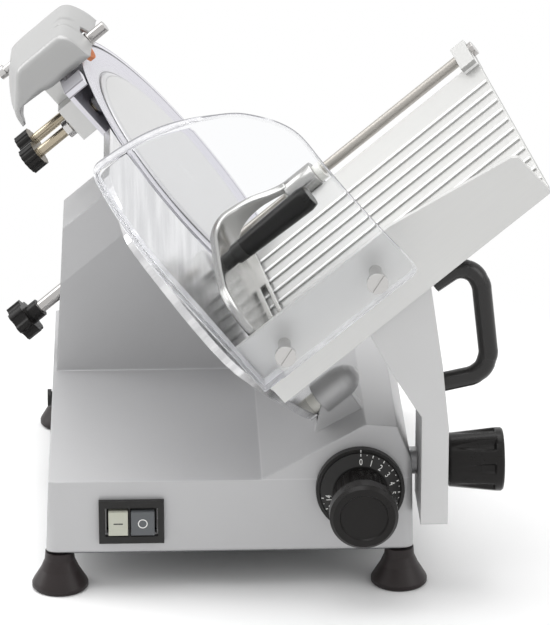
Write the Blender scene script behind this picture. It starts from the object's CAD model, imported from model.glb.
"""Visual model of an electric food slicer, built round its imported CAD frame.

Metres, in the frame of the CAD: X to the operator's right, Y away from the operator, Z up.
Shapes are given in millimetres and turned into metres where their points are made.
"""
import math
import bmesh
import bpy
import numpy as np
from mathutils import Matrix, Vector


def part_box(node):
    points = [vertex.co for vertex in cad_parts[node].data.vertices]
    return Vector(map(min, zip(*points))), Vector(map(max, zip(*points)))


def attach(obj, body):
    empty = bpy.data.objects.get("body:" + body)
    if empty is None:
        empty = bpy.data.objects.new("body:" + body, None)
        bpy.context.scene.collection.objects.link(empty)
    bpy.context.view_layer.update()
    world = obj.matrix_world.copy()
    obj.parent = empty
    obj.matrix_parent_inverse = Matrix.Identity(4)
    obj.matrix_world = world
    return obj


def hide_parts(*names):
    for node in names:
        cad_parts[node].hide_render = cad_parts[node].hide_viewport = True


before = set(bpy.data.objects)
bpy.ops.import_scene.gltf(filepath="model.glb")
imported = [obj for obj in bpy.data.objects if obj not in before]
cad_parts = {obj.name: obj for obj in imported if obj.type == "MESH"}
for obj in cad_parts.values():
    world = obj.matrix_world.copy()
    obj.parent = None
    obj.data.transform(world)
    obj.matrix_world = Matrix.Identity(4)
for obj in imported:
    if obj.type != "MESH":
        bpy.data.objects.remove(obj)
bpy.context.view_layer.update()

MM = 0.001
SHIFT = np.array([26.0, 19.75, 0.0])  # the frame's origin, from that of the machine's drawing
TILT = math.radians(40)
FEED = np.array([math.cos(TILT), 0.0, math.sin(TILT)])
UP_BLADE = np.array([-math.sin(TILT), 0.0, math.cos(TILT)])
ALONG_Y = np.array([0.0, 1.0, 0.0])
BLADE_CENTRE = np.array([-25.0, 115.0, 229.0]) - SHIFT
DIAL_CENTRE = np.array([94.0, -150.0, 79.0]) - SHIFT
TRAY_SLOPE = math.radians(21.6)
TRAY_CORNER = BLADE_CENTRE - 297.0 * ALONG_Y - 93.0 * UP_BLADE
STROKE = math.cos(TRAY_SLOPE) * ALONG_Y + math.sin(TRAY_SLOPE) * UP_BLADE
OFF_FLOOR = math.cos(TRAY_SLOPE) * UP_BLADE - math.sin(TRAY_SLOPE) * ALONG_Y


def frame_point(origin, axes, distances):
    """Point in metres: an origin, and a distance (mm) along each of three axes."""
    a, b, c = np.broadcast_arrays(*(np.asarray(v, float) for v in distances))
    return (origin + a[..., None] * axes[0] + b[..., None] * axes[1] + c[..., None] * axes[2]) * MM


def head_point(n, y, u):
    """Point of the blade head: n along the feed axis, y away from the operator, u up the blade."""
    return frame_point(BLADE_CENTRE, (FEED, ALONG_Y, UP_BLADE), (n, y, u))


def tray_point(n, s, h):
    """Point over the tray: n along the feed axis, s along the stroke, h above the floor."""
    return frame_point(TRAY_CORNER, (FEED, STROKE, OFF_FLOOR), (n, s, h))


# Shader maths


class Val:
    """A shader value: arithmetic on it adds Math nodes to its finish."""

    def __init__(self, finish, socket):
        self.finish = finish
        self.socket = socket

    def _math(self, operation, first, second):
        return self.finish.node("ShaderNodeMath", {"operation": operation}, {0: first, 1: second})

    def __add__(self, other):
        return self._math("ADD", self, other)

    def __radd__(self, other):
        return self._math("ADD", other, self)

    def __sub__(self, other):
        return self._math("SUBTRACT", self, other)

    def __rsub__(self, other):
        return self._math("SUBTRACT", other, self)

    def __mul__(self, other):
        return self._math("MULTIPLY", self, other)

    def __pow__(self, other):
        return self._math("POWER", self, other)

    def max(self, other):
        return self._math("MAXIMUM", self, other)


MIX_FACTOR, MIX_A, MIX_B, MIX_RESULT = 0, 6, 7, 2  # sockets of a Mix node set to colours


class Finish:
    """A material's node tree with one Principled shader, and the nodes that feed it."""

    def __init__(self, name, **constants):
        self.material = bpy.data.materials.new(name)
        self.material.use_nodes = True
        self.tree = self.material.node_tree
        self.tree.nodes.clear()
        self.output = self.tree.nodes.new("ShaderNodeOutputMaterial")
        self.shader = self.tree.nodes.new("ShaderNodeBsdfPrincipled")
        self.tree.links.new(self.shader.outputs[0], self.output.inputs[0])
        self.put(**constants)

    def node(self, kind, settings=None, sockets=None, out=0):
        """Makes a node of this kind, applies its settings, then its socket values or links."""
        made = self.tree.nodes.new(kind)
        for key, value in (settings or {}).items():
            setattr(made, key, value)
        for key, value in (sockets or {}).items():
            self.feed(made.inputs[key], value)
        return Val(self, made.outputs[out])

    def feed(self, socket, value):
        if isinstance(value, Val):
            self.tree.links.new(value.socket, socket)
        else:
            socket.default_value = value

    def put(self, **values):
        """Sets sockets of the Principled shader, named with underscores for spaces."""
        for key, value in values.items():
            if isinstance(value, tuple) and len(value) == 3:
                value = (*value, 1.0)
            self.feed(self.shader.inputs[key.replace("_", " ")], value)

    def overlay(self, factor, shader):
        """Lays another shader over the Principled one by a factor."""
        mix = self.tree.nodes.new("ShaderNodeMixShader")
        self.feed(mix.inputs[0], factor)
        self.tree.links.new(self.shader.outputs[0], mix.inputs[1])
        self.tree.links.new(shader.outputs[0], mix.inputs[2])
        self.tree.links.new(mix.outputs[0], self.output.inputs[0])

    def place(self, stretch=(1.0, 1.0, 1.0), turn=(0.0, 0.0, 0.0)):
        """Object coordinates, turned and then stretched."""
        point = self.node("ShaderNodeTexCoord", out="Object")
        kind = {"vector_type": "POINT"}
        turned = self.node("ShaderNodeMapping", kind, {"Vector": point, "Rotation": turn})
        return self.node("ShaderNodeMapping", kind, {"Vector": turned, "Scale": stretch})

    def along(self, origin, direction):
        """Distance in metres from a point (mm) along a unit direction."""
        point = self.node("ShaderNodeTexCoord", out="Object")
        local = self.node("ShaderNodeVectorMath", {"operation": "SUBTRACT"},
                          {0: point, 1: tuple(origin * MM)})
        return self.node("ShaderNodeVectorMath", {"operation": "DOT_PRODUCT"},
                         {0: local, 1: tuple(direction)}, out="Value")

    def noise(self, scale, detail=2.0, rough=0.5, **where):
        return self.node("ShaderNodeTexNoise", None, {
            "Vector": self.place(**where), "Scale": scale, "Detail": detail, "Roughness": rough})

    def axis(self, name):
        return self.node("ShaderNodeSeparateXYZ", None, {0: self.place()}, out=name)

    def smooth(self, value, low, high):
        """0 at low, 1 at high, with a soft change between them; low may be the larger."""
        return self.node("ShaderNodeMapRange", {"interpolation_type": "SMOOTHSTEP"},
                         {"Value": value, "From Min": low, "From Max": high})

    def blend(self, factor, first, second, mode="MIX"):
        """Mixes two colours by a factor."""
        sockets = {MIX_FACTOR: factor}
        for key, colour in ((MIX_A, first), (MIX_B, second)):
            sockets[key] = colour if isinstance(colour, Val) else (*colour, 1.0)
        return self.node("ShaderNodeMix", {"data_type": "RGBA", "blend_type": mode}, sockets,
                         out=MIX_RESULT)

    def bump(self, height, depth, strength=1.0, edge=None):
        """Bump from a height, over normals that round the edges by a radius where one is given."""
        sockets = {"Height": height, "Distance": depth, "Strength": strength}
        if edge:
            sockets["Normal"] = self.node("ShaderNodeBevel", {"samples": 6}, {"Radius": edge})
        self.put(Normal=self.node("ShaderNodeBump", None, sockets))


def grey(level):
    return (level, level, level)


def times(factor, colour):
    """A colour made lighter or darker, no channel above 1."""
    return tuple(min(1.0, factor * channel) for channel in colour)


def satin_metal(name, colour, rough, metallic=1.0, edge=0.0008, grain=900.0, worn=None):
    """Cast or blasted metal: fine grain in the bump, slow drift in colour and gloss.

    A level (mm) given as worn is a flat that wiping has left brighter than the rest.
    """
    f = Finish(name)
    drift = f.noise(9.0, 2.0)
    grit = f.noise(grain, 3.0, 0.6)
    base = f.blend(drift, times(0.93, colour), times(1.05, colour))
    if worn:
        near, far = 0.3, 0.8  # the bright flat is whole within near of its level and gone at far
        z = f.axis("Z")
        flat = (f.smooth(z, (worn - far) * MM, (worn - near) * MM)
                * f.smooth(z, (worn + far) * MM, (worn + near) * MM))
        base = f.blend(flat, base, times(1.10, colour))
    f.put(Base_Color=base, Metallic=metallic,
          Roughness=drift * 0.06 + grit * 0.05 + (rough - 0.055))
    f.bump(grit, 0.03 * MM, 0.5, edge)
    return f.material


def brushed_metal(name, colour, rough, turn=(0.0, 0.0, 0.0), mark=0.10, metallic=1.0):
    """Metal with fine parallel lines: noise drawn out along one direction drives gloss, colour and
    bump."""
    f = Finish(name)
    lines = f.noise(6.0, 4.0, 0.65, turn=turn, stretch=DRAWN_OUT)
    drift = f.noise(12.0, 2.0)
    f.put(Base_Color=f.blend(lines * 0.7 + drift * 0.3, times(1.0 - mark, colour),
                             times(1.0 + 0.5 * mark, colour)),
          Metallic=metallic, Roughness=lines * 0.14 + drift * 0.05 + (rough - 0.09))
    f.bump(lines, 0.03 * MM, 0.35, 0.0005)
    return f.material


def moulded(name, colour, rough, coat=0.0, edge=0.0006, shine=0.32):
    """Moulded plastic or rubber: faint mould texture and uneven gloss."""
    f = Finish(name, Coat_Roughness=0.12, Specular_IOR_Level=shine)
    drift = f.noise(25.0, 3.0)
    grit = f.noise(1500.0, 2.0)
    f.put(Base_Color=f.blend(drift, colour, times(1.5, colour)), Coat_Weight=coat,
          Roughness=drift * 0.10 + grit * 0.06 + (rough - 0.08))
    f.bump(grit, 0.02 * MM, 0.4, edge)
    return f.material


def turned_disc(name, colour, rough, tint=None, rings=2600.0, lines=(), metallic=1.0):
    """Ground disc: concentric grinding rings about the blade axis, a tint near the rim and fine
    dark lines, each given by its radius and half width (mm)."""
    tint_from, tint_to = 98.0 * MM, 112.0 * MM
    line_tone = 0.38
    f = Finish(name)
    across = [f.along(BLADE_CENTRE, direction) for direction in (ALONG_Y, UP_BLADE)]
    radius = (across[0] * across[0] + across[1] * across[1]) ** 0.5
    wobble = f.noise(14.0, 2.0)
    groove = f.node("ShaderNodeTexNoise", {"noise_dimensions": "1D"},
                    {"W": radius * rings + wobble * 0.6, "Scale": 1.0, "Detail": 3.0})
    base = f.blend(f.smooth(radius, tint_from, tint_to), colour, tint or colour)
    shade = groove * 0.08 + 0.92
    for place, half in lines:
        off = f.node("ShaderNodeMath", {"operation": "ABSOLUTE"}, {0: radius - place * MM})
        clear = f.smooth(off, 0.3 * half * MM, half * MM)
        shade = shade * (clear * (1.0 - line_tone) + line_tone)
    f.put(Base_Color=f.blend(shade, grey(0.0), base), Metallic=metallic,
          Roughness=groove * 0.14 + wobble * 0.05 + (rough - 0.09))
    f.bump(groove, 0.02 * MM, 0.3)
    return f.material


def clear_sheet(name):
    """Clear acrylic: full transmission with faint smears, milky along the bent rim and grey on its
    cut edge.

    The piece's own rim attribute is 0 on the plate, 1 along the rim and 2 on the cut edge.
    """
    f = Finish(name, Transmission_Weight=1.0, IOR=1.15, Base_Color=(0.975, 0.98, 0.99))
    smear = f.noise(30.0, 3.0)
    f.put(Roughness=f.smooth(smear, 0.5, 0.9) * 0.03)
    rim = f.node("ShaderNodeAttribute", {"attribute_name": "rim"}, out="Fac")
    cut = f.smooth(rim, 1.3, 1.9)
    streak = f.noise(9.0, 3.0, 0.6, turn=ALONG_FEED, stretch=(8.0, 1.0, 1.0))
    milky = f.tree.nodes.new("ShaderNodeBsdfPrincipled")
    milky.inputs["Roughness"].default_value = 0.18
    tint = f.blend(streak, (0.78, 0.78, 0.82), (0.96, 0.96, 0.97))
    f.feed(milky.inputs["Base Color"], f.blend(cut, tint, (0.17, 0.17, 0.185)))
    f.overlay(f.smooth(rim, 0.05, 0.95) * (0.25 + streak * 0.45) + cut * 0.75, milky)
    return f.material


def abrasive(name, colour):
    """Bonded grit: speckled colour and a coarse bump."""
    f = Finish(name)
    speck = f.noise(1800.0, 2.0, 0.7)
    f.put(Base_Color=f.blend(speck, times(0.6, colour), times(1.3, colour)),
          Roughness=speck * 0.15 + 0.75)
    f.bump(speck, 0.12 * MM, 0.7)
    return f.material


def gauge_finish(name):
    """Polished plate, drawn towards the blade: soft streaks along the slicing stroke in colour,
    gloss and bump."""
    f = Finish(name)
    streak = f.noise(5.0, 3.0, 0.55, turn=ALONG_FEED, stretch=(1.0, 0.9, 22.0))
    fine = f.noise(9.0, 3.0, 0.6, turn=ALONG_FEED, stretch=(1.0, 3.0, 90.0))
    f.put(Base_Color=f.blend(f.smooth(streak, 0.3, 0.75), (0.60, 0.60, 0.61), (0.82, 0.82, 0.825)),
          Metallic=0.9, Roughness=streak * 0.12 + fine * 0.06 + 0.14)
    f.bump(streak + fine * 0.15, 0.35 * MM, 0.6, 0.0012)
    return f.material


def grip_finish(name):
    """Pusher handle: gloss black moulding with a dull grey ferrule over its first stretch along the
    feed axis."""
    f = Finish(name, Specular_IOR_Level=0.16)
    grip = f.smooth(f.along(BLADE_CENTRE, FEED), 39.2 * MM, 39.8 * MM)
    drift = f.noise(40.0, 2.0)
    f.put(Base_Color=f.blend(grip, (0.022, 0.022, 0.021), (0.0045, 0.0045, 0.004)),
          Roughness=drift * 0.08 + 0.26 - grip * 0.06)
    f.bump(drift, 0.04 * MM, 0.2)
    return f.material


def knobbed_shaft(name, knob_end, collar=(0.0, 0.0)):
    """Turned shaft along the feed axis: yellow passivated steel, a bright collar between two places
    (mm), and a black knob beyond knob_end (mm)."""
    f = Finish(name, Specular_IOR_Level=0.25)
    n = f.along(BLADE_CENTRE, FEED)
    rod = f.smooth(n, (knob_end - 0.1) * MM, (knob_end + 0.1) * MM)
    bright = (f.smooth(n, collar[0] * MM, (collar[0] + 0.2) * MM)
              * f.smooth(n, collar[1] * MM, (collar[1] - 0.2) * MM))
    thread = f.node("ShaderNodeMath", {"operation": "SINE"}, {0: n * 5200.0})
    metal = f.blend(bright, (0.47, 0.41, 0.31), (0.66, 0.65, 0.64))
    f.put(Base_Color=f.blend(rod, (0.007, 0.0065, 0.006), metal), Metallic=rod,
          Roughness=thread * 0.04 + 0.34 - rod * 0.08)
    f.bump(thread * rod, 0.05 * MM, 0.4, 0.0005)
    return f.material


def ribbed_tray(name):
    """Tray: satin sheet whose raised ribs are polished bright, told apart by height over the floor.

    The floor is a little darker than the side wall, from which it is told by distance along Y.
    """
    f = Finish(name)
    height = f.along(TRAY_CORNER, OFF_FLOOR)
    stroke = f.along(TRAY_CORNER, STROKE)
    rib = (f.smooth(height, 0.4 * MM, 1.1 * MM) * f.smooth(height, 3.5 * MM, 2.5 * MM)
           * f.smooth(stroke, 12.0 * MM, 14.0 * MM))
    floor = f.smooth(f.along(TRAY_CORNER, ALONG_Y), 5.0 * MM, 8.0 * MM)
    lines = f.noise(6.0, 4.0, 0.65, turn=ALONG_FEED, stretch=DRAWN_OUT)
    drift = f.noise(10.0, 2.0)
    sheet = f.blend(floor, (0.66, 0.66, 0.65), (0.54, 0.54, 0.53))
    tone = f.blend(lines * 0.6 + drift * 0.4, grey(0.88), grey(1.0))
    plain = f.blend(1.0, sheet, tone, mode="MULTIPLY")
    f.put(Base_Color=f.blend(rib, plain, (0.97, 0.97, 0.96)), Metallic=0.55 - rib * 0.5,
          Roughness=lines * 0.1 + drift * 0.06 + 0.32)
    f.bump(lines, 0.02 * MM, 0.3, 0.0006)
    return f.material


def paint_mark(name, colour):
    """Printed paint with slightly uneven cover."""
    f = Finish(name)
    cover = f.noise(700.0, 2.0)
    f.put(Base_Color=f.blend(cover, times(0.85, colour), colour), Roughness=cover * 0.1 + 0.5)
    return f.material


ALONG_FEED = (0.0, TILT, 0.0)
DRAWN_OUT = (4.0, 260.0, 260.0)
PLATFORM = 86.0
GLOSS_BLACK = (0.0065, 0.0058, 0.0055)
FINISHES = {
    "casting": satin_metal("casting_satin", (0.47, 0.47, 0.475), 0.48, metallic=0.45, edge=0.0022,
                           worn=PLATFORM),
    "arm": satin_metal("arm_satin", grey(0.57), 0.45, metallic=0.5, edge=0.0010),
    "hood": satin_metal("hood_satin", (0.40, 0.40, 0.397), 0.36, metallic=0.3, grain=500.0),
    "inner_alloy": satin_metal("inner_casting", (0.34, 0.34, 0.345), 0.38),
    "sheet": satin_metal("cover_sheet", (0.14, 0.145, 0.15), 0.5, metallic=0.6),
    "bracket": satin_metal("bracket_steel", (0.62, 0.62, 0.61), 0.30, metallic=0.75),
    "rubber": moulded("foot_rubber", (0.0125, 0.0085, 0.0085), 0.42, edge=0.0008),
    "steel": brushed_metal("bright_steel", (0.60, 0.59, 0.58), 0.22),
    "chrome": brushed_metal("polished_rod", (0.48, 0.467, 0.455), 0.12, turn=ALONG_FEED, mark=0.04),
    "dull_rod": brushed_metal("dull_rod", (0.42, 0.40, 0.37), 0.34, turn=ALONG_FEED, mark=0.08,
                              metallic=0.75),
    "blade": turned_disc("blade_ground", (0.66, 0.655, 0.69), 0.28, tint=(0.655, 0.645, 0.70),
                         lines=((101.5, 0.9), (124.4, 0.7)), metallic=0.7),
    "disc": turned_disc("cover_disc", grey(0.60), 0.34, rings=1500.0, lines=((96.6, 0.8),),
                        metallic=0.3),
    "ring": turned_disc("ring_casting", (0.76, 0.75, 0.80), 0.36, rings=900.0,
                        lines=((127.8, 0.8), (132.6, 0.9)), metallic=0.6),
    "lip": turned_disc("cover_lip", (0.58, 0.58, 0.59), 0.34, rings=1500.0, metallic=0.3),
    "black": moulded("black_moulding", (0.010, 0.0095, 0.009), 0.40),
    "knob": moulded("gloss_knob", GLOSS_BLACK, 0.28, edge=0.0009, shine=0.22),
    "handle": moulded("gloss_handle", GLOSS_BLACK, 0.24, edge=0.0009, shine=0.5),
    "white_key": moulded("white_key", (0.38, 0.385, 0.325), 0.35, coat=0.3, edge=0.0010),
    "grey_key": moulded("grey_key", (0.075, 0.08, 0.085), 0.38, coat=0.2, edge=0.0010),
    "motor": moulded("motor_paint", (0.06, 0.07, 0.08), 0.5),
    "belt": moulded("belt_rubber", grey(0.012), 0.6),
    "gauge": gauge_finish("gauge_plate"),
    "cream": satin_metal("gauge_bar", (0.84, 0.83, 0.77), 0.38, metallic=0.05),
    "tray": ribbed_tray("tray_sheet"),
    "pusher": satin_metal("pusher_casting", (0.41, 0.408, 0.397), 0.24, metallic=0.95, edge=0.0014),
    "clear": clear_sheet("clear_guard"),
    "bronze": satin_metal("bush_bronze", (0.60, 0.42, 0.18), 0.4),
    "hone_rod": knobbed_shaft("hone_rod", -70.0, (-43.0, -37.0)),
    "clamp_rod": knobbed_shaft("clamp_rod", -76.0),
    "stone": abrasive("orange_stone", (0.60, 0.20, 0.08)),
    "hone": abrasive("grey_stone", (0.42, 0.42, 0.43)),
    "liner": moulded("liner_plastic", (0.62, 0.62, 0.59), 0.35),
    "grip": grip_finish("pusher_grip"),
    "mark_white": paint_mark("white_mark", (0.80, 0.80, 0.78)),
    "mark_dark": paint_mark("dark_mark", grey(0.03)),
}
WEARS = {  # the CAD's nodes in each finish
    "casting": "base_housing",
    "arm": "carriage_arm",
    "hood": "sharpener_hood",
    "inner_alloy": "bearing_carrier carriage_hanger gauge_link scroll_cam blade_pulley "
                   "motor_pulley",
    "bracket": "sharpener_bracket",
    "sheet": "bottom_cover",
    "rubber": "rubber_feet",
    "steel": "foot_screws ring_screws blade_bolts spindle motor_shaft dial_shaft slide_rod "
             "guide_bar tray_screws hood_screw guard_spacers guard_screws bearings",
    "chrome": "tie_rod rod_nut stone_pin",
    "dull_rod": "pusher_rod",
    "blade": "blade",
    "disc": "blade_cover",
    "ring": "ring_guard",
    "black": "cable_gland switch_frame dial_ring dial_scale",
    "knob": "tie_knob dial_knob lock_knob",
    "handle": "carriage_handle",
    "white_key": "start_button",
    "grey_key": "stop_button capacitor",
    "motor": "motor_body",
    "belt": "drive_belt",
    "gauge": "gauge_plate",
    "cream": "gauge_bar",
    "tray": "tray",
    "pusher": "pusher_plate",
    "clear": "hand_guard",
    "bronze": "slide_bushes",
    "hone_rod": "hone_shaft",
    "clamp_rod": "clamp_screw",
    "stone": "sharpening_stone",
    "hone": "hone_stone",
    "liner": "pusher_liner",
    "grip": "pusher_handle",
}
for finish_name, nodes in WEARS.items():
    for node_name in nodes.split():
        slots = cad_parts[node_name].data.materials
        slots.clear()
        slots.append(FINISHES[finish_name])


# Mesh helpers


def add_piece(name, points, faces, finish, body, smooth=True):
    """Puts points (metres) and faces into a mesh that rides on a body."""
    mesh = bpy.data.meshes.new(name)
    mesh.from_pydata(points.tolist(), [], [list(face) for face in faces])
    mesh.polygons.foreach_set("use_smooth", np.full(len(mesh.polygons), smooth))
    mesh.materials.append(FINISHES[finish])
    mesh.update()
    piece = bpy.data.objects.new(name, mesh)
    bpy.context.scene.collection.objects.link(piece)
    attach(piece, body)
    return piece


SEAM_GAP = 2e-6


def close_seams(piece):
    """Merges points that meet at seams and poles, then turns every face of the closed shell
    outwards."""
    work = bmesh.new()
    work.from_mesh(piece.data)
    bmesh.ops.remove_doubles(work, verts=work.verts, dist=SEAM_GAP)
    bmesh.ops.dissolve_degenerate(work, edges=work.edges, dist=SEAM_GAP)
    bmesh.ops.recalc_face_normals(work, faces=work.faces)
    work.to_mesh(piece.data)
    work.free()
    piece.data.update()


def walked(points):
    """Distance walked along a line at each of its points."""
    return np.concatenate([[0.0], np.cumsum(np.linalg.norm(np.diff(points, axis=0), axis=1))])


def at_places(places, walk, points):
    """Points of a line at these places along its walk."""
    return np.stack([np.interp(places, walk, column) for column in points.T], axis=-1)


def smooth_curve(points, count):
    """Points spaced evenly along a Catmull-Rom curve through the given ones."""
    p = np.asarray(points, float)
    ends = np.concatenate([[2 * p[0] - p[1]], p, [2 * p[-1] - p[-2]]])
    t = np.linspace(0.0, 1.0, 24, endpoint=False)[None, :, None]
    a, b, c, d = (ends[k:len(p) - 1 + k][:, None, :] for k in range(4))
    curve = 0.5 * (2 * b + (c - a) * t + (2 * a - 5 * b + 4 * c - d) * t ** 2
                   + (3 * b - a - 3 * c + d) * t ** 3)
    curve = np.concatenate([curve.reshape(-1, p.shape[1]), p[-1:]])
    walk = walked(curve)
    return at_places(np.linspace(0.0, walk[-1], count), walk, curve)


def stepped_profile(points, step=0.5, hold=0.15):
    """Straight profile cut into short even steps, with every corner kept and held by close
    neighbours."""
    p = np.asarray(points, float)
    walk = walked(p)
    near = (walk[:, None] + np.array([-hold, 0.0, hold])).ravel()
    places = np.clip(np.concatenate([near, np.arange(0.0, walk[-1], step)]), 0.0, walk[-1])
    return at_places(np.unique(places.round(4)), walk, p)


def ease(value, low, high):
    """0 at low, 1 at high, with level ends; low may be the larger."""
    t = np.clip((value - low) / (high - low), 0.0, 1.0)
    return t * t * (3.0 - 2.0 * t)


def unit(vectors):
    return vectors / np.linalg.norm(vectors, axis=-1, keepdims=True)


def round_angles(count):
    """Angles from the start to the end of a rounded quarter."""
    return np.linspace(0.0, np.pi / 2, count)


def full_turn(count):
    """Angles spaced evenly round a full turn."""
    return np.arange(count) * 2 * np.pi / count


def grid_faces(rows, columns, closed_rows=False, closed_columns=False):
    """Quads between neighbours of a rows by columns grid of points."""
    r = np.arange(rows if closed_rows else rows - 1)
    c = np.arange(columns if closed_columns else columns - 1)
    r, c = (v.ravel() for v in np.meshgrid(r, c, indexing="ij"))
    r1, c1 = (r + 1) % rows, (c + 1) % columns
    corners = ((r, c), (r1, c), (r1, c1), (r, c1))
    return np.stack([row * columns + column for row, column in corners], axis=1)


class Patchwork:
    """Collects small meshes into one piece."""

    def __init__(self):
        self.points = []
        self.faces = []
        self.count = 0

    def add(self, points, faces):
        self.points.append(points)
        self.faces += [tuple(int(i) + self.count for i in face) for face in faces]
        self.count += len(points)

    def add_plate(self, top, under, faces):
        """Thin closed plate: faces over the top points, the same turned over below, and walls along
        the edges that only one face has."""
        count = len(top)
        edges = {pair: True for face in faces for pair in zip(face, face[1:] + face[:1])}
        walls = [(b, a, a + count, b + count) for a, b in edges if (b, a) not in edges]
        flipped = [tuple(i + count for i in reversed(face)) for face in faces]
        self.add(np.concatenate([top, under]), faces + flipped + walls)

    def make(self, name, finish, body):
        add_piece(name, np.concatenate(self.points), self.faces, finish, body, smooth=False)


# Cover: a thin lip that runs down close to the blade


def turned_ring(name, profile, finish, body, count=160, place=head_point, centre=(0.0, 0.0)):
    """Closed profile of radius and n (mm) turned about the feed axis through a centre of the given
    place."""
    turn = full_turn(count)[:, None]
    radius, n = (np.asarray(column, float)[None, :] for column in zip(*profile))
    points = place(n + 0.0 * turn, centre[0] + radius * np.cos(turn),
                   centre[1] + radius * np.sin(turn))
    faces = grid_faces(count, len(profile), closed_rows=True, closed_columns=True)
    add_piece(name, points.reshape(-1, 3), faces, finish, body)


turned_ring("cover_lip", [(95.6, -0.24), (97.0, -0.42), (98.8, -1.1), (100.6, -1.98), (100.4, -2.1),
                          (98.6, -1.6), (97.2, -1.3), (96.0, -1.0)], "lip", "base")


# Hand guard: a clear plate whose left and top edges are bent back into a rim

GUARD_FRONT, GUARD_BACK, GUARD_THICK = -320.0, -316.0, 3.4
GUARD_FOOT, GUARD_CORNER = -73.0, 122.0  # u of the bottom edge and of the left edge's upper end
GUARD_MIDDLE = np.array([72.0, 25.0])
TOP_RIM, LEFT_RIM = 11.0, 18.0


def guard_edge():
    """Outline (n, u) run up the left edge, over the top, down the right edge and along the bottom,
    and the depth of the rim at each point.

    The left edge is upright at first, and then leans right by the square of the height.
    """
    left_n, lean, lean_from, lean_run = 2.5, 14.5, 25.0, 106.0
    u = np.linspace(GUARD_FOOT, GUARD_CORNER, 60)
    left_share = np.maximum(0.0, u - lean_from) / lean_run
    left = np.stack([left_n + lean * left_share ** 2, u], axis=1)
    over = smooth_curve([
        (14.7, GUARD_CORNER), (16.2, 126.0), (19.5, 128.4), (25.0, 128.9), (45.0, 126.9),
        (62.5, 123.6), (84.5, 116.6), (102.0, 109.0), (120.0, 97.0), (132.0, 82.5), (138.4, 71.5),
        (142.0, 61.0), (143.0, 50.0), (142.0, 30.0), (141.4, 3.0), (142.0, -37.0), (142.8, -64.0),
        (142.4, -69.5), (140.0, -72.4), (136.0, GUARD_FOOT)], 190)
    bottom = np.stack([np.linspace(134.0, 4.0, 40), np.full(40, GUARD_FOOT)], axis=1)
    outline = np.concatenate([left, over[1:], bottom])
    n, u = outline.T
    on_left = 1.0 - ease(n, 10.0, 26.0) * ease(u, 60.0, 90.0)
    top_rim = TOP_RIM * (1.0 - ease(n, 68.0, 112.0)) * ease(u, 70.0, 90.0)
    left_rim = LEFT_RIM * (1.0 - ease(n, 15.0, 22.0))
    return outline, np.maximum(left_rim * np.maximum(on_left, 0.6), top_rim)


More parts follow.
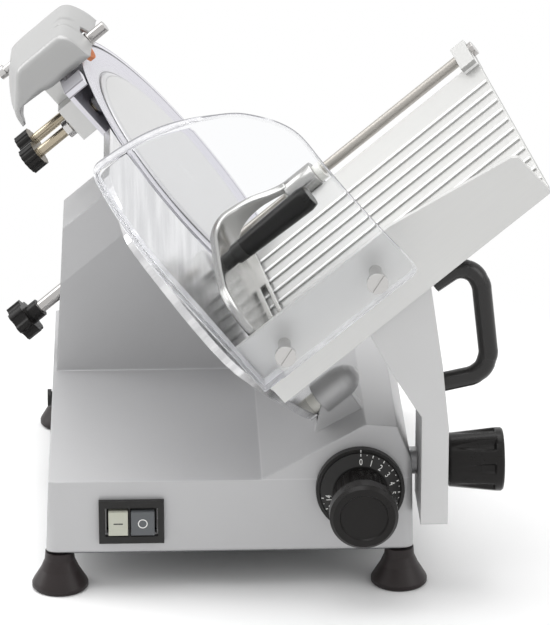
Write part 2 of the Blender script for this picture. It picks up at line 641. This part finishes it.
def guard_shell():
    """Shell over the outline: each slice runs from the middle of the plate's front out to its
    rounded edge, back along the rim, round its end, and in again behind the plate.

    The rim attribute marks the milky rim, and the cut edge over the top and down the right.
    """
    sharp, blunt, end_round, root_round = 1.6, 3.2, 1.3, 2.0  # radii of the plate's and rim's edges
    clearance = 0.02  # of the edge where there is no rim, so that no slice folds flat
    faint = 0.35  # mark of an edge without a rim
    outline, rim = guard_edge()
    inward = unit(GUARD_MIDDLE - outline)
    n, u = outline.T[..., None]
    rim = rim[:, None]
    end = GUARD_BACK + clearance + rim
    turn = round_angles(7)
    front_round = np.where(rim > 2.0, blunt, sharp)
    bent = ease(rim, 0.5, 6.0)
    deep = faint + np.maximum((1.0 - faint) * bent, 0.5 * ease(-u, 70.0, 72.8))
    on_top = ease(u, 60.0, 90.0) * ease(n, 13.0, 22.0)
    on_right = 0.9 * ease(n, 125.0, 138.0) * ease(u, -66.0, -50.0)
    line = np.maximum(on_top, on_right) * (2.0 - deep)
    thin = line * (1.0 - bent)
    slices = []

    def put(step, depth, mark):
        """Adds points to every slice: steps inwards from the outline, depths along y and marks."""
        shape = (len(outline), np.shape(step)[-1])
        slices.append([np.broadcast_to(values, shape) for values in (step, depth, mark)])

    # Front of the plate and its rounded edge
    put(np.array([[40.0, 14.0, 6.0]]), GUARD_FRONT, 0.0)
    put(front_round * (1 - np.sin(turn)), GUARD_FRONT + front_round * (1 - np.cos(turn)),
        deep * np.sin(turn) + thin * ease(turn, 0.5, 1.1))
    # Outside of the rim and its rounded end
    walk = np.linspace(0.0, 1.0, 6)[None, 1:]
    first = GUARD_FRONT + front_round
    put(np.zeros((1, 5)), first + (np.maximum(end - end_round, first) - first) * walk,
        deep + np.maximum(line * np.array([[0.0, 0.0, 0.6, 1.0, 1.0]]), thin))
    lip = np.minimum(end_round, (end - GUARD_FRONT) / 3.2)
    put(lip * (1 - np.cos(turn)), end - lip * (1 - np.sin(turn)), deep + line)
    put(GUARD_THICK - lip * (1 - np.sin(turn)),
        np.maximum(end - lip * (1 - np.cos(turn)), GUARD_BACK), deep)
    # Inside of the rim, the hollow at its root and the back of the plate
    low = GUARD_BACK + np.minimum(root_round, 0.5 * rim)
    high = np.maximum(end - lip, low)
    put(np.full((1, 5), GUARD_THICK), high + (low - high) * walk, deep)
    put((GUARD_THICK + root_round * (1 - np.cos(turn)))[None, :],
        low - (low - GUARD_BACK) * np.sin(turn), deep * (1 - np.sin(turn)))
    put(np.array([[8.0, 16.0, 40.0]]), GUARD_BACK, 0.0)

    step, depth, mark = (np.concatenate(v, axis=1) for v in zip(*slices))
    flat = outline[:, None, :] + step[..., None] * inward[:, None, :]
    points = head_point(flat[..., 0], depth, flat[..., 1]).reshape(-1, 3)
    poles = head_point(GUARD_MIDDLE[0], [GUARD_FRONT, GUARD_BACK], GUARD_MIDDLE[1])
    rows, columns = step.shape
    ring = np.arange(rows)
    after = (ring + 1) % rows
    front_pole, back_pole = rows * columns, rows * columns + 1
    back = columns - 1
    fans = [(ring * columns, after * columns, np.full(rows, front_pole)),
            (after * columns + back, ring * columns + back, np.full(rows, back_pole))]
    faces = grid_faces(rows, columns, closed_rows=True).tolist()
    for fan in fans:
        faces += np.stack(fan, axis=1).tolist()
    piece = add_piece("guard_shell", np.concatenate([points, poles]), faces, "clear", "carriage")
    layer = piece.data.attributes.new("rim", "FLOAT", "POINT")
    layer.data.foreach_set("value", np.concatenate([mark.ravel(), [0.0, 0.0]]))
    close_seams(piece)
    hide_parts("hand_guard")


guard_shell()


# Sharpener hood: a cast cap with soft edges, deeper at its left lip

HOOD_NEAR, HOOD_FAR, HOOD_SOFT, HOOD_WALL = -37.0, 45.0, 5.0, 2.5
HOOD_LINE_POINTS = 240
HOOD_FRONT_LINE = [
    (-62.5, 119.5), (-61.3, 129.5), (-55, 137), (-47, 145.6), (-40.5, 152.6), (-34, 156.2),
    (-14, 156.5), (-1, 156.5), (4.6, 155.4), (8.4, 151), (10.4, 144), (11.4, 135), (13, 128.8)]
HOOD_BACK_LINE = [
    (-66, 119), (-66.3, 128), (-61, 137.5), (-55, 145.5), (-48.5, 152.3), (-41, 156),
    (-16, 156.6), (1, 156.6), (7, 155.6), (11.5, 151.6), (14.8, 145), (17.2, 137), (17.8, 129)]
HOOD_FOOT = np.array([
    (-66, 118.8), (-62.5, 119.5), (-60, 120.4), (-56.5, 130.0), (-54, 131.8), (-43, 131.4),
    (-32, 130.8), (-28.5, 129.4), (-24.5, 128.8), (-10, 128.7), (4.7, 128.5), (13.0, 128.4),
    (18.0, 128.4)])


def hood_shell():
    """Cap of constant wall: slices across it run up the front wall, round the ridge, over the top
    and down the back.

    The top line of the front and that of the back (n, u) are blended across the hood, and a notch
    clears the stone's pin.
    """
    rows, round_steps, top_steps, wall_steps = 110, 8, 24, 4
    notch_half, notch_soft, notch_share = 6.5, 10.0, 0.105  # half width, its soft edge, and depth
    lines = [smooth_curve(points, HOOD_LINE_POINTS) for points in (HOOD_FRONT_LINE, HOOD_BACK_LINE)]
    runs = [np.gradient(points, axis=0) for points in lines]
    places = np.linspace(0.0, 1.0, HOOD_LINE_POINTS)
    s = np.linspace(0.0, 1.0, rows)[:, None]

    def top_line(y, inset):
        """Top line at every depth y, its end drawn up by the notch, moved inwards by the wall."""
        notch = ease(np.abs(y), notch_soft, notch_half)
        along = s * (1.0 - notch_share * notch)
        left = ease(y, HOOD_NEAR, 4.0)
        right = (y - HOOD_NEAR) / (HOOD_FAR - HOOD_NEAR)
        share = (left + (right - left) * ease(s, 0.35, 0.65))[..., None]
        front, back = (at_places(along, places, points) for points in lines)
        front_run, back_run = (at_places(along, places, points) for points in runs)
        run = unit(front_run + (back_run - front_run) * share)
        inwards = np.stack([run[..., 1], -run[..., 0]], axis=-1)
        return front + (back - front) * share + inset * inwards

    def skin(wall):
        """Points of the hood's skin, set in from its outside by a wall."""
        near, far, radius = HOOD_NEAR + wall, HOOD_FAR - wall, HOOD_SOFT - wall
        turn = round_angles(round_steps)
        back_turn = turn[::-1]
        rise = np.linspace(0.0, 1.0, wall_steps + 1)[:-1]
        upright = np.ones(wall_steps)
        across = np.linspace(near + radius, far - radius, top_steps + 2)[1:-1]
        depth = np.concatenate([near * upright, near + radius * (1 - np.cos(turn)), across,
                                far - radius * (1 - np.cos(back_turn)), far * upright])[None, :]
        sag = np.concatenate([upright, 1 - np.sin(turn), 0.0 * across, 1 - np.sin(back_turn),
                              upright])
        share = np.concatenate([rise, np.ones(top_steps + 2 * round_steps), rise[::-1]])
        top = top_line(depth + 0.0 * s, wall)
        foot = np.minimum(np.interp(top[..., 0], *HOOD_FOOT.T), top[..., 1])
        room = np.minimum(radius, 0.7 * (top[..., 1] - foot))
        height = foot + (top[..., 1] - room * sag - foot) * share
        return head_point(top[..., 0], depth + 0.0 * s, height)

    outer, inner = skin(0.0), skin(HOOD_WALL)
    columns = outer.shape[1]
    count = rows * columns
    grid = grid_faces(rows, columns)
    faces = [grid, grid[:, ::-1] + count]
    row, column = np.arange(rows - 1), np.arange(columns - 1)
    rims = [(row * columns + edge, (row + 1) * columns + edge) for edge in (0, columns - 1)]
    rims += [(edge * columns + column, edge * columns + column + 1) for edge in (0, rows - 1)]
    faces += [np.stack([a, b, b + count, a + count], axis=1) for a, b in rims]
    points = np.concatenate([outer.reshape(-1, 3), inner.reshape(-1, 3)])
    piece = add_piece("hood_shell", points, np.concatenate(faces).tolist(), "hood", "base")
    close_seams(piece)
    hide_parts("sharpener_hood")


hood_shell()


# Pusher: a plate with a rolled rim, bent round to the bush on its rod

ROD_S, ROD_H = 178.0, 1.0
PUSHER_EDGE = [
    (0, 2.6), (0, 30), (4, 45), (11, 57), (22, 64.5), (36, 67.2), (48, 65), (72, 58.4), (96, 50.7),
    (120, 42.1), (136, 37), (144, 34.9), (152, 31.9), (160, 27.3), (168, 23.5), (176, 20.1),
    (184, 16.2), (192, 13.4), (197, 12.4)]
PUSHER_FOOT = np.array([(0, 2.4), (128, 2.4), (132, 8), (150, 13), (176, 12), (184, 10.5),
                        (192, 8.5), (197, 8)])


def pusher_shell():
    """Plate on a bent line: straight along the stroke, then a quarter turn towards the bush.

    Its upper edge and its foot are given as distance along the line and height. Each slice across
    it runs up the front face, over the rolled rim, in under it and down the back.
    """
    face_n, start_s, bend_s, bend = 22.0, 20.0, 145.0, 30.0
    rim, wall, soft, depth = 7.0, 3.5, 2.2, 8.0
    tail_from, full_room = 60.0, 11.0  # past tail_from the rim shrinks where the plate is lower
    edge = smooth_curve(PUSHER_EDGE, 200)
    run = unit(np.gradient(edge, axis=0))
    inward = np.stack([run[:, 1], -run[:, 0]], axis=1)
    room = edge[:, 1] - np.interp(edge[:, 0], *PUSHER_FOOT.T)
    scale = np.where(edge[:, 0] > tail_from, np.minimum(1.0, room / full_room), 1.0)[:, None]
    turn = round_angles(7)
    inset = np.concatenate([soft * (1 - np.sin(turn)), [0.0], soft * (1 - np.cos(turn)),
                            [0.75 * depth], 0.75 * depth + 0.25 * depth * np.sin(turn[1:])])
    roll = np.concatenate([soft * (1 - np.cos(turn)), [0.5 * rim], rim - soft + soft * np.sin(turn),
                           [rim], wall + (rim - wall) * np.cos(turn[1:])])
    over = edge[:, None, :] + (scale * inset)[..., None] * inward[:, None, :]
    deep = edge + depth * scale * inward
    foot_h = np.minimum(np.interp(deep[:, 0], *PUSHER_FOOT.T), deep[:, 1])
    foot = np.stack([deep[:, 0], foot_h], axis=1)
    climb = np.array([0.0, 0.04, 0.3, 0.6, 0.9, 1.0])
    front = foot[:, None, :] + (deep - foot)[:, None, :] * climb[None, :, None]
    flat = np.concatenate([front, over, front[:, ::-1]], axis=1)
    back = np.concatenate([0.0 * climb, roll, np.full_like(climb, wall)])[None, :]
    straight = bend_s - start_s
    angle = np.clip((flat[..., 0] - straight) / bend, 0.0, np.pi / 2)
    past = np.maximum(0.0, flat[..., 0] - straight - bend * np.pi / 2)
    n = face_n + bend - (bend + back) * np.cos(angle) + past
    s = np.minimum(start_s + flat[..., 0], bend_s) + (bend + back) * np.sin(angle)
    rows, columns = n.shape
    last = rows * columns - 1
    faces = grid_faces(rows, columns, closed_columns=True).tolist()
    faces += [list(range(columns)), list(range(last, last - columns, -1))]
    points = tray_point(n, s, flat[..., 1]).reshape(-1, 3)
    piece = add_piece("pusher_shell", points, faces, "pusher", "pusher")
    close_seams(piece)
    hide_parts("pusher_plate")


def pusher_foot():
    """Flat sole under the plate: a band between an outer oblong and the slot in its middle."""
    low, high = 2.4, 5.4
    outer = np.array([(18.6, 20.0), (32.0, 20.0), (32.0, 148.0), (18.6, 148.0)])
    slot = np.array([(24.0, 60.0), (29.0, 60.0), (29.0, 110.0), (24.0, 110.0)])
    rings = ((outer, high), (slot, high), (slot, low), (outer, low))
    points = np.concatenate([tray_point(*ring.T, h) for ring, h in rings])
    faces = grid_faces(len(rings), len(outer), closed_rows=True, closed_columns=True)
    piece = add_piece("pusher_foot", points, faces, "pusher", "pusher", smooth=False)
    close_seams(piece)


pusher_shell()
pusher_foot()
turned_ring("pusher_bush", [(7.1, 74.0), (10.0, 74.0), (10.7, 74.3), (11.0, 75.0), (11.0, 99.0),
                            (10.7, 99.7), (10.0, 100.0), (7.1, 100.0)], "pusher", "pusher",
            64, tray_point, (ROD_S, ROD_H))


# Arm lock: a tapered knob with wedge flutes

LOCK_TALL = 43.0
LOCK_COLUMNS = 192
FLUTES, FLUTE_DEPTH = 8, 2.4
FLUTE_START, FLUTE_FULL, FLUTE_STOP, FLUTE_END = 0.12, 0.80, 0.83, 0.86  # shares of the height


def lock_shell():
    """Turned profile whose radius dips in flutes that widen and deepen towards the rim."""
    low, high = (np.array(corner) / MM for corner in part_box("lock_knob"))
    base = high[0] - LOCK_TALL
    x, radius = stepped_profile([
        (low[0], 0.0), (low[0], 5.0), (base, 5.0), (base, 16.0), (base + 0.8, 17.6),
        (base + 3.0, 18.0), (base + 3.2, 19.0), (base + 4.0, 19.6), (base + 38.0, 23.2),
        (base + 41.2, 23.2), (base + 42.6, 22.2), (base + LOCK_TALL, 20.4),
        (base + LOCK_TALL, 0.0)]).T[..., None]
    turn = full_turn(LOCK_COLUMNS)[None, :]
    along = (x - base) / LOCK_TALL
    grown = ease(along, FLUTE_START, FLUTE_FULL)
    depth = FLUTE_DEPTH * grown * ease(along, FLUTE_END, FLUTE_STOP)
    half = 0.10 + 0.16 * grown
    off = np.abs((turn * FLUTES / (2 * np.pi) + 0.42) % 1.0 - 0.5) / half
    radius = radius - depth * ease(off, 1.0, 0.45)
    axis_y, axis_z = (low[1:] + high[1:]) / 2
    points = np.stack([x + 0.0 * turn, axis_y - radius * np.cos(turn),
                       axis_z + radius * np.sin(turn)], axis=-1) * MM
    faces = grid_faces(len(x), LOCK_COLUMNS, closed_columns=True)
    piece = add_piece("lock_shell", points.reshape(-1, 3), faces, "knob", "arm_lock")
    close_seams(piece)
    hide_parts("lock_knob")


lock_shell()


# Dial: numbers, ticks and dots printed on the scale's cone, and a tick above them on the ring

CONE_RIM, CONE_RUN, CONE_RISE = 29.0, 8.5, 4.0
RIM_PROUD = 6.0
PRINT = 0.06
NUMBER_STEP = math.radians(18.5)
LAST_NUMBER = 14
NUMERAL_SIZE, NUMERAL_WIDTH, NUMERAL_RADIUS = 5.8, 0.86, 23.2
TICK_RADIUS, DOT_RADIUS = 27.8, 28.0


def facing_point(centre, x, out, z):
    """Point in metres, from a centre (mm): x to the operator's right, out towards them, z up."""
    x, out, z = np.broadcast_arrays(x, out, z)
    return (centre + np.stack([x, -out, z], axis=-1)) * MM


def dial_point(radius, angle, lift):
    """Point at a radius (mm) and clockwise angle from the top, lifted off the scale's cone, which
    rises evenly from its rim inwards."""
    proud = RIM_PROUD + (CONE_RIM - radius) * CONE_RISE / CONE_RUN
    return facing_point(DIAL_CENTRE, radius * np.sin(angle), proud + lift, radius * np.cos(angle))


def plate_on_dial(work, x, y, faces, angle, radius):
    """Lays flat points (mm, y outwards) on the cone at an angle, as a thin closed plate."""
    turn = angle + x / radius
    work.add_plate(dial_point(radius + y, turn, PRINT), dial_point(radius + y, turn, -PRINT), faces)


def bar_points(half_width, low, high, steps=4):
    """Upright bar: a grid two points wide and a few long."""
    y = np.repeat(np.linspace(low, high, steps), 2)
    x = np.tile([-half_width, half_width], steps)
    return x, y, [(2 * k, 2 * k + 1, 2 * k + 3, 2 * k + 2) for k in range(steps - 1)]


def dot_points(radius, count=10):
    turn = full_turn(count)
    return radius * np.cos(turn), radius * np.sin(turn), [tuple(range(count))]


def numeral_points(text):
    """Flat mesh of a number, centred, in millimetres."""
    curve = bpy.data.curves.new("numeral", "FONT")
    curve.body = text
    curve.size = NUMERAL_SIZE
    curve.align_x = "CENTER"
    curve.align_y = "CENTER"
    curve.resolution_u = 3
    holder = bpy.data.objects.new("numeral", curve)
    bpy.context.scene.collection.objects.link(holder)
    bpy.context.view_layer.update()
    shown = holder.evaluated_get(bpy.context.evaluated_depsgraph_get())
    mesh = bpy.data.meshes.new_from_object(shown)
    spots = np.empty(len(mesh.vertices) * 3)
    mesh.vertices.foreach_get("co", spots)
    spots = spots.reshape(-1, 3)
    faces = [tuple(p.vertices) for p in mesh.polygons]
    bpy.data.objects.remove(holder)
    bpy.data.curves.remove(curve)
    bpy.data.meshes.remove(mesh)
    return spots[:, 0] * NUMERAL_WIDTH, spots[:, 1], faces


scale_print = Patchwork()
for number in range(LAST_NUMBER + 1):
    angle = number * NUMBER_STEP
    plate_on_dial(scale_print, *numeral_points(str(number)), angle, NUMERAL_RADIUS)
    plate_on_dial(scale_print, *bar_points(0.32, -0.85, 0.85), angle, TICK_RADIUS)
    if number < LAST_NUMBER:
        plate_on_dial(scale_print, *dot_points(0.33), angle + NUMBER_STEP / 2, DOT_RADIUS)
scale_print.make("dial_numbers", "mark_white", "dial")

index_print = Patchwork()
index_x, index_z, index_faces = bar_points(0.3, 29.7, 31.6)
index_print.add_plate(facing_point(DIAL_CENTRE, index_x, RIM_PROUD + PRINT, index_z),
                      facing_point(DIAL_CENTRE, index_x, RIM_PROUD - PRINT, index_z), index_faces)
index_print.make("dial_index", "mark_white", "base")


# Switch marks: a line on the start key, a ring on the stop key

KEY_FACE, KEY_LEVEL = -156.5, 55.5
MARK_PROUD, MARK_SUNK = 0.05, -0.3


def key_mark(name, key_x, outline, inner, finish, body):
    """Closed band between two outlines (mm, X and Z about the key's centre), a hair proud of its
    face."""
    centre = np.array([key_x, KEY_FACE, KEY_LEVEL]) - SHIFT
    rings = ((outline, MARK_PROUD), (inner, MARK_PROUD), (inner, MARK_SUNK), (outline, MARK_SUNK))
    layers = [facing_point(centre, ring[:, 0], out, ring[:, 1]) for ring, out in rings]
    faces = grid_faces(len(rings), len(outline), closed_rows=True, closed_columns=True)
    add_piece(name, np.concatenate(layers), faces, finish, body, smooth=False)


def oval(width, height, power, count=40):
    """Superellipse: round for power 2, nearly a rectangle for a high power."""
    turn = full_turn(count)
    shape = [np.sign(v) * np.abs(v) ** (2.0 / power) for v in (np.cos(turn), np.sin(turn))]
    return np.stack([width * shape[0], height * shape[1]], axis=-1)


key_mark("start_mark", -80.6, oval(3.4, 0.5, 8), oval(0.5, 0.05, 8), "mark_dark", "start")
key_mark("stop_mark", -62.9, oval(3.5, 3.5, 2), oval(2.8, 2.8, 2), "mark_white", "stop")


# Camera, light and floor

EYE = (np.array([-59.84, -2798.05, 1221.18]) - SHIFT) * MM
RIGHT = (0.99939, -0.03490, 0.0)
UPWARD = (0.01239, 0.35489, 0.93483)
BACK = (-0.03263, -0.93426, 0.35511)
SENSOR = 36.0
FOCAL_PIXELS, PICTURE_PIXELS = 4000.0, 625.0  # on the picture's longer side


def stand(thing, right, up, back, place):
    """Puts a camera or lamp at a place, turned to these axes, and into the scene."""
    rows = [(right[k], up[k], back[k], place[k]) for k in range(3)]
    thing.matrix_world = Matrix(rows + [(0, 0, 0, 1)])
    bpy.context.scene.collection.objects.link(thing)


camera_data = bpy.data.cameras.new("camera")
camera_data.sensor_fit = "AUTO"
camera_data.sensor_width = SENSOR
camera_data.lens = FOCAL_PIXELS * SENSOR / PICTURE_PIXELS
camera_data.clip_end = 50.0
camera = bpy.data.objects.new("camera", camera_data)
stand(camera, RIGHT, UPWARD, BACK, EYE)
bpy.context.scene.camera = camera


def softbox(name, place, target, width, height, power):
    """Rectangular lamp at a place, facing a target."""
    data = bpy.data.lights.new(name, "AREA")
    data.shape = "RECTANGLE"
    data.size, data.size_y = width, height
    data.energy = power
    away = unit(np.array(place) - np.array(target))
    side = unit(np.cross((0.0, 0.0, 1.0), away))
    stand(bpy.data.objects.new(name, data), side, np.cross(away, side), away, place)


softbox("top_box", (-0.25, 0.1, 1.9), (0.0, 0.0, 0.1), 2.2, 1.6, 26.0)
softbox("left_box", (-1.8, 0.4, 1.1), (0.0, 0.0, 0.2), 1.0, 1.4, 14.0)
softbox("right_box", (1.6, -1.0, 1.1), (0.0, 0.0, 0.15), 1.0, 1.4, 6.0)

world = bpy.data.worlds.new("studio")
bpy.context.scene.world = world
world.use_nodes = True
sky = world.node_tree
sky.nodes.clear()


def sky_node(kind, **sockets):
    made = sky.nodes.new(kind)
    for key, value in sockets.items():
        socket = made.inputs[key.replace("_", " ")]
        if isinstance(value, bpy.types.NodeSocket):
            sky.links.new(value, socket)
        else:
            socket.default_value = value
    return made


# White for what the camera, glass and metal see; for the light on the object, brighter overhead
SEEN_BY = ("Is Camera Ray", "Is Transmission Ray", "Is Glossy Ray")
ray = sky_node("ShaderNodeLightPath").outputs
seen = ray[SEEN_BY[0]]
for ray_name in SEEN_BY[1:]:
    either = sky_node("ShaderNodeMath")
    either.operation = "MAXIMUM"
    sky.links.new(seen, either.inputs[0])
    sky.links.new(ray[ray_name], either.inputs[1])
    seen = either.outputs[0]
coordinates = sky_node("ShaderNodeTexCoord").outputs["Generated"]
direction = sky_node("ShaderNodeSeparateXYZ", Vector=coordinates)
LOW_LIGHT, OVERHEAD_LIGHT = 0.50, 0.95
height = sky_node("ShaderNodeMapRange", Value=direction.outputs["Z"], From_Min=-0.2, From_Max=0.9,
                  To_Min=LOW_LIGHT, To_Max=OVERHEAD_LIGHT)
plain = sky_node("ShaderNodeBackground", Color=(1, 1, 1, 1), Strength=height.outputs[0])
white = sky_node("ShaderNodeBackground", Color=(1, 1, 1, 1), Strength=1.0)
mixed = sky_node("ShaderNodeMixShader", Fac=seen)
sky.links.new(plain.outputs[0], mixed.inputs[1])
sky.links.new(white.outputs[0], mixed.inputs[2])
sky_node("ShaderNodeOutputWorld", Surface=mixed.outputs[0])

bpy.context.scene.view_settings.view_transform = "Standard"

FLOOR_HALF = 6.0
FADE_FROM, FADE_TO = 0.24, 0.48


def floor_finish():
    """Pale matt floor that fades to plain white away from the object for what the camera, metal and
    glass see."""
    f = Finish("floor_pale", Base_Color=grey(0.90), Roughness=0.85)
    x, y = f.axis("X"), f.axis("Y")
    reach = (x * x + y * y) ** 0.5
    rays = f.node("ShaderNodeLightPath").socket.node.outputs
    camera_ray, transmission_ray, glossy_ray = (Val(f, rays[name]) for name in SEEN_BY)
    shown = camera_ray.max(glossy_ray).max(transmission_ray)
    glow = f.tree.nodes.new("ShaderNodeEmission")
    glow.inputs["Strength"].default_value = 1.0
    f.overlay(shown * f.smooth(reach, FADE_FROM, FADE_TO), glow)
    return f.material


floor_mesh = bpy.data.meshes.new("floor")
floor_mesh.from_pydata([(FLOOR_HALF * x, FLOOR_HALF * y, 0.0) for x, y in
                        ((-1, -1), (1, -1), (1, 1), (-1, 1))], [], [(0, 1, 2, 3)])
floor_mesh.materials.append(floor_finish())
floor = bpy.data.objects.new("floor", floor_mesh)
bpy.context.scene.collection.objects.link(floor)
